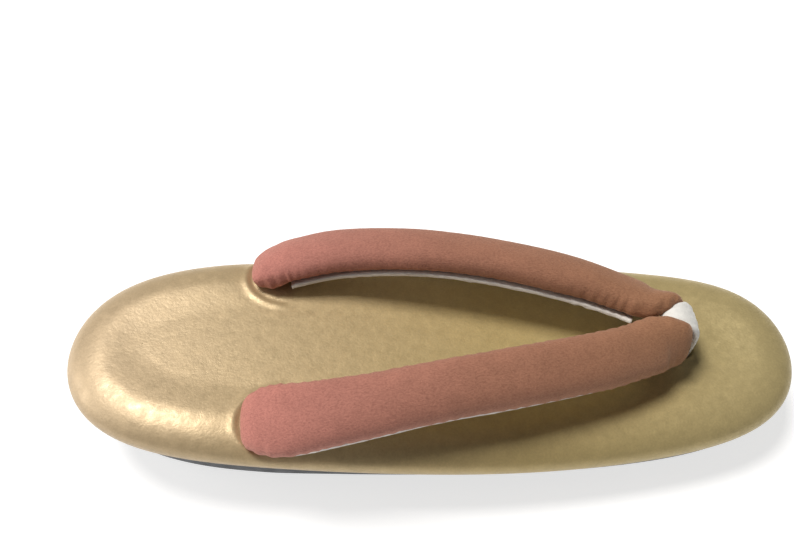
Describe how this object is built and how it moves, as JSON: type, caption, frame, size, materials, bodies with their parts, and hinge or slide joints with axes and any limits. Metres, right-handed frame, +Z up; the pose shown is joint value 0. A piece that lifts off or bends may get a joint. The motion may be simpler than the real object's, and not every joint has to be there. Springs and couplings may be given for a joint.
{
  "type": "zori sandal",
  "caption": "Flat Japanese dress sandal with a low wedge sole, a padded leather footbed and a padded crepe V strap held by a white toe loop.",
  "frame": {"origin": "Centre of the sandal's footprint on the floor, under the sole's lowest plane.", "axes": "+X points to the toes, +Y to the inner side of this right-foot sandal (the wearer's left), +Z up from the floor."},
  "size_m": [0.2398, 0.0842, 0.0496],
  "materials": {
    "sole_rubber": "matte moulded",
    "gold_leather": "pearly champagne gold, fine grain",
    "rose_crepe": "rose to copper crepe weave",
    "white_felt": "soft white felt"
  },
  "bodies": {
    "root": {"sole": "sole_rubber", "footbed": "gold_leather", "strap_upper": "rose_crepe", "lining_inner": "white_felt", "lining_outer": "white_felt", "toe_loop": "white_felt"}
  },
  "joints": []
}
